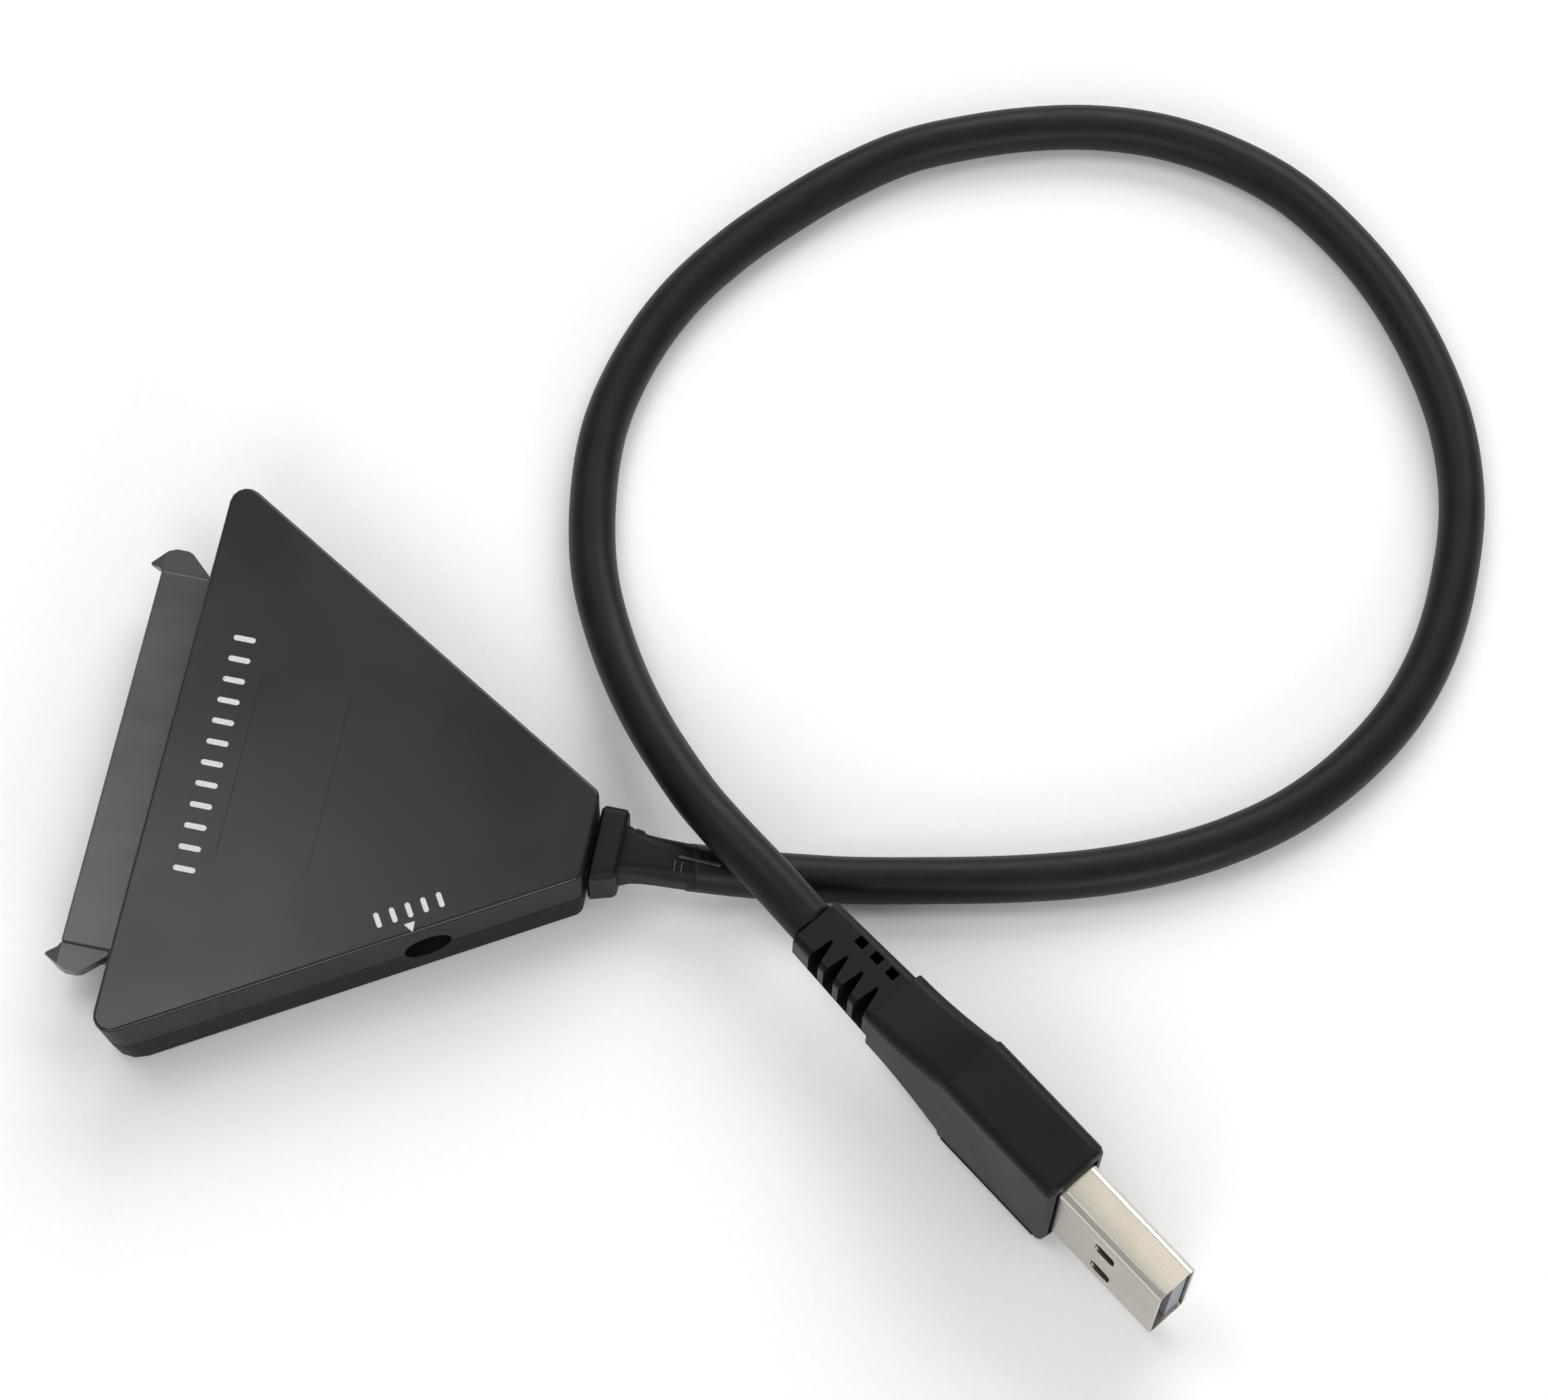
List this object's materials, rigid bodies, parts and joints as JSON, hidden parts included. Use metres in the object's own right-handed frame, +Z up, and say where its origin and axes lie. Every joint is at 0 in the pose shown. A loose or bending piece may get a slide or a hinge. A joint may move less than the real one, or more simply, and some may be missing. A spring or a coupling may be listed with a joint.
{
  "type": "usb to sata adapter",
  "caption": "Flat triangular adapter housing with a SATA drive receptacle along its wide side, a round power jack in a slanted side, and a fixed cable that ends in a USB-A plug.",
  "frame": {"origin": "centre, in plan, of the housing with its receptacle, on the surface under the housing; the cable and its plug are left out of it", "axes": "+X from the receptacle side to the cable end, +Y along the receptacle towards its data segment, +Z up"},
  "size_m": [0.1238, 0.1226, 0.0155],
  "materials": {
    "housing_plastic": "satin charcoal ABS",
    "receptacle_plastic": "satin dark grey glass-filled nylon",
    "contact_gold": "gold-plated phosphor bronze",
    "board_laminate": "green solder mask over glass laminate",
    "chip_epoxy": "moulded epoxy",
    "can_steel": "drawn steel can",
    "ferrite": "ground ferrite",
    "capacitor_ceramic": "fired ceramic",
    "jack_plastic": "black moulded nylon",
    "jack_steel": "nickel-plated steel",
    "relief_rubber": "matte black soft PVC",
    "cable_jacket": "satin black PVC",
    "plug_overmould": "matte black PVC",
    "plug_steel": "nickel-plated steel, satin",
    "tongue_plastic": "grey moulded nylon",
    "core_red": "insulated core",
    "core_black": "insulated core",
    "core_green": "insulated core",
    "core_white": "insulated core",
    "pair_blue": "shielded pair",
    "pair_orange": "shielded pair"
  },
  "bodies": {
    "root": {"top_cover": "housing_plastic", "bottom_cover": "housing_plastic", "sata_insulator": "receptacle_plastic", "sata_signal_contact_1": "contact_gold", "sata_signal_contact_2": "contact_gold", "sata_signal_contact_3": "contact_gold", "sata_signal_contact_4": "contact_gold", "sata_signal_contact_5": "contact_gold", "sata_signal_contact_6": "contact_gold", "sata_signal_contact_7": "contact_gold", "sata_power_contact_1": "contact_gold", "sata_power_contact_2": "contact_gold", "sata_power_contact_3": "contact_gold", "sata_power_contact_4": "contact_gold", "sata_power_contact_5": "contact_gold", "sata_power_contact_6": "contact_gold", "sata_power_contact_7": "contact_gold", "sata_power_contact_8": "contact_gold", "sata_power_contact_9": "contact_gold", "sata_power_contact_10": "contact_gold", "sata_power_contact_11": "contact_gold", "sata_power_contact_12": "contact_gold", "sata_power_contact_13": "contact_gold", "sata_power_contact_14": "contact_gold", "sata_power_contact_15": "contact_gold", "plug_contact_1": "contact_gold", "plug_contact_2": "contact_gold", "plug_contact_3": "contact_gold", "plug_contact_4": "contact_gold", "plug_superspeed_contact_1": "contact_gold", "plug_superspeed_contact_2": "contact_gold", "plug_superspeed_contact_3": "contact_gold", "plug_superspeed_contact_4": "contact_gold", "plug_superspeed_contact_5": "contact_gold", "circuit_board": "board_laminate", "bridge_chip": "chip_epoxy", "flash_chip": "chip_epoxy", "regulator_chip": "chip_epoxy", "crystal_can": "can_steel", "power_inductor": "ferrite", "capacitor_1": "capacitor_ceramic", "capacitor_2": "capacitor_ceramic", "capacitor_3": "capacitor_ceramic", "dc_jack_body": "jack_plastic", "dc_jack_pin": "jack_steel", "dc_jack_spring": "jack_steel", "cable_gland": "relief_rubber", "cable": "cable_jacket", "plug_overmould": "plug_overmould", "plug_shell": "plug_steel", "plug_insulator": "tongue_plastic", "wire_power": "core_red", "wire_ground": "core_black", "wire_data_plus": "core_green", "wire_data_minus": "core_white", "transmit_pair": "pair_blue", "receive_pair": "pair_orange"}
  },
  "joints": []
}
